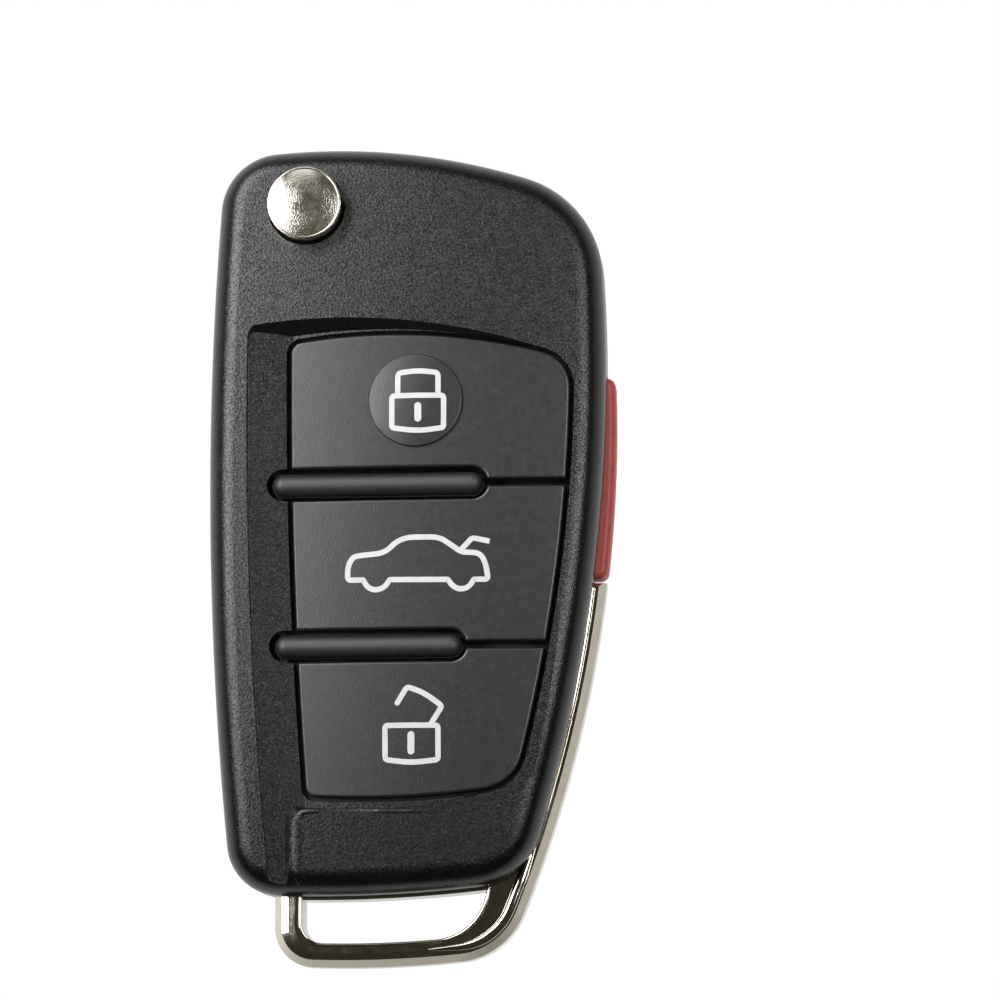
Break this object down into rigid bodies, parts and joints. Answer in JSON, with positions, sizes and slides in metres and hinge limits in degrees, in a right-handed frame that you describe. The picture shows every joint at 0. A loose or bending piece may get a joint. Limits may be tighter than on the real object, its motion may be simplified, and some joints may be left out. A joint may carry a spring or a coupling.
{
  "type": "keyless entry remote",
  "caption": "Folding key remote with rubber keys, a side panic button, a round flip button, a fold-out blade and a metal key ring loop.",
  "frame": {"origin": "centre of the underside of the bounding box, with the remote lying on its back", "axes": "+Y along the body to the blade pivot and flip button, +X to the panic button side, +Z out of the keypad face"},
  "size_m": [0.0403, 0.0817, 0.0168],
  "materials": {
    "shell": "fine spark texture, satin",
    "nickel": "polished nickel, lightly scratched",
    "mat_rubber": "satin",
    "key_rubber": "satin",
    "red_rubber": "satin",
    "hub_metal": "die-cast zinc, plated",
    "blade_steel": "milled and plated",
    "pin_steel": "ground",
    "spring_steel": "drawn wire",
    "board": "solder mask",
    "cell_steel": "rolled sheet",
    "contact_metal": "plated sheet",
    "chip": "moulded epoxy",
    "crystal_can": "drawn can",
    "switch_plastic": "moulded"
  },
  "bodies": {
    "case": {"front_shell": "shell", "rear_shell": "shell", "metal_frame": "nickel", "keypad_mat": "mat_rubber", "circuit_board": "board", "coin_cell": "cell_steel", "battery_clip_positive": "contact_metal", "battery_clip_negative": "contact_metal", "control_chip": "chip", "crystal": "crystal_can", "transponder": "chip", "lock_switch": "switch_plastic", "boot_switch": "switch_plastic", "unlock_switch": "switch_plastic", "panic_switch": "switch_plastic", "flip_spring": "spring_steel"},
    "blade": {"blade_hub": "hub_metal", "key_blade": "blade_steel", "blade_pin": "pin_steel"},
    "flip_button": {"flip_button": "nickel"},
    "lock_key": {"lock_key": "key_rubber"},
    "boot_key": {"boot_key": "key_rubber"},
    "unlock_key": {"unlock_key": "key_rubber"},
    "panic_button": {"panic_button": "red_rubber"},
    "battery_cover": {"battery_cover": "shell"}
  },
  "joints": [
    {"name": "blade_hinge", "type": "hinge", "parent": "case", "child": "blade", "pos_m": [-0.01058, 0.03467, 0.008], "axis": [0, 0, -1], "range_deg": [0, 180]},
    {"name": "flip_button_press", "type": "slide", "parent": "case", "child": "flip_button", "axis": [0, 0, -1], "range_m": [0, 0.0014], "stiffness_N_per_m": 600, "springref_m": -0.0014, "deforming": ["flip_spring"]},
    {"name": "lock_key_press", "type": "slide", "parent": "case", "child": "lock_key", "axis": [0, 0, -1], "range_m": [0, 0.0005], "stiffness_N_per_m": 400, "springref_m": -0.0005},
    {"name": "boot_key_press", "type": "slide", "parent": "case", "child": "boot_key", "axis": [0, 0, -1], "range_m": [0, 0.0005], "stiffness_N_per_m": 400, "springref_m": -0.0005},
    {"name": "unlock_key_press", "type": "slide", "parent": "case", "child": "unlock_key", "axis": [0, 0, -1], "range_m": [0, 0.0005], "stiffness_N_per_m": 400, "springref_m": -0.0005},
    {"name": "panic_button_press", "type": "slide", "parent": "case", "child": "panic_button", "axis": [-1, 0, 0], "range_m": [0, 0.0005], "stiffness_N_per_m": 400, "springref_m": -0.0005},
    {"name": "battery_cover_pull", "type": "slide", "parent": "case", "child": "battery_cover", "axis": [0, 0, -1], "range_m": [0, 0.012]}
  ]
}
